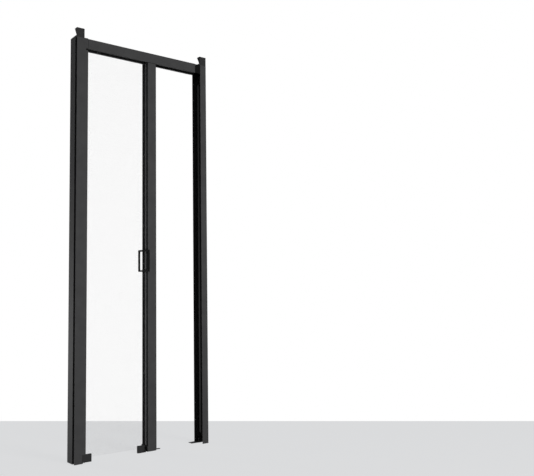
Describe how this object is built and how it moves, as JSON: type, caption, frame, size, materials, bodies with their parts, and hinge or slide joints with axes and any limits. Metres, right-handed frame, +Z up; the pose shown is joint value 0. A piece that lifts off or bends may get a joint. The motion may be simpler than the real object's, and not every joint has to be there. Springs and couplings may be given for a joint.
{
  "type": "retractable screen door",
  "caption": "Side-drawn retractable insect screen door: housing post, top rail, sliding pull bar with handles, screen and catch post.",
  "frame": {"origin": "outer rear bottom corner of the housing post: on its flat back face, which lies against the wall, at floor level", "axes": "+X along the opening from the housing to the catch post, +Y into the wall, +Z up"},
  "size_m": [0.846, 0.095, 2.198],
  "materials": {
    "anthracite_aluminium": "matt anthracite powder coat",
    "black_plastic": "matt moulded nylon",
    "grey_aluminium": "matt grey powder coat",
    "black_moulding": "deep black moulded nylon",
    "mill_aluminium": "mill finish tube",
    "screen_cloth": "grey coated glass-fibre screen cloth",
    "pile": "black polypropylene pile",
    "magnet_strip": "matt ferrite rubber"
  },
  "bodies": {
    "frame": {"housing_shell": "anthracite_aluminium", "housing_cover": "anthracite_aluminium", "housing_top_cap": "black_plastic", "housing_foot": "black_plastic", "roller_tube": "mill_aluminium", "rolled_screen": "screen_cloth", "roller_bottom_plug": "black_plastic", "roller_top_plug": "black_plastic", "mouth_brush_front": "pile", "mouth_brush_back": "pile", "screen_mesh": "screen_cloth", "top_rail": "anthracite_aluminium", "rail_brush_front": "pile", "rail_brush_back": "pile", "rail_joiner": "black_plastic", "rail_end": "black_moulding", "catch_post": "anthracite_aluminium", "catch_carrier": "anthracite_aluminium", "catch_magnet": "magnet_strip", "catch_top_cap": "black_plastic", "catch_foot": "black_plastic"},
    "pull_bar": {"pull_bar": "anthracite_aluminium", "screen_clamp": "grey_aluminium", "bar_nose": "anthracite_aluminium", "bar_magnet": "magnet_strip", "bar_top_shoe": "black_plastic", "bar_foot": "black_plastic", "handle_front": "black_moulding", "handle_back": "black_moulding"}
  },
  "joints": [
    {"name": "bar_slide", "type": "slide", "parent": "frame", "child": "pull_bar", "axis": [1, 0, 0], "range_m": [-0.311, 0.3025], "deforming": ["screen_mesh"]}
  ]
}
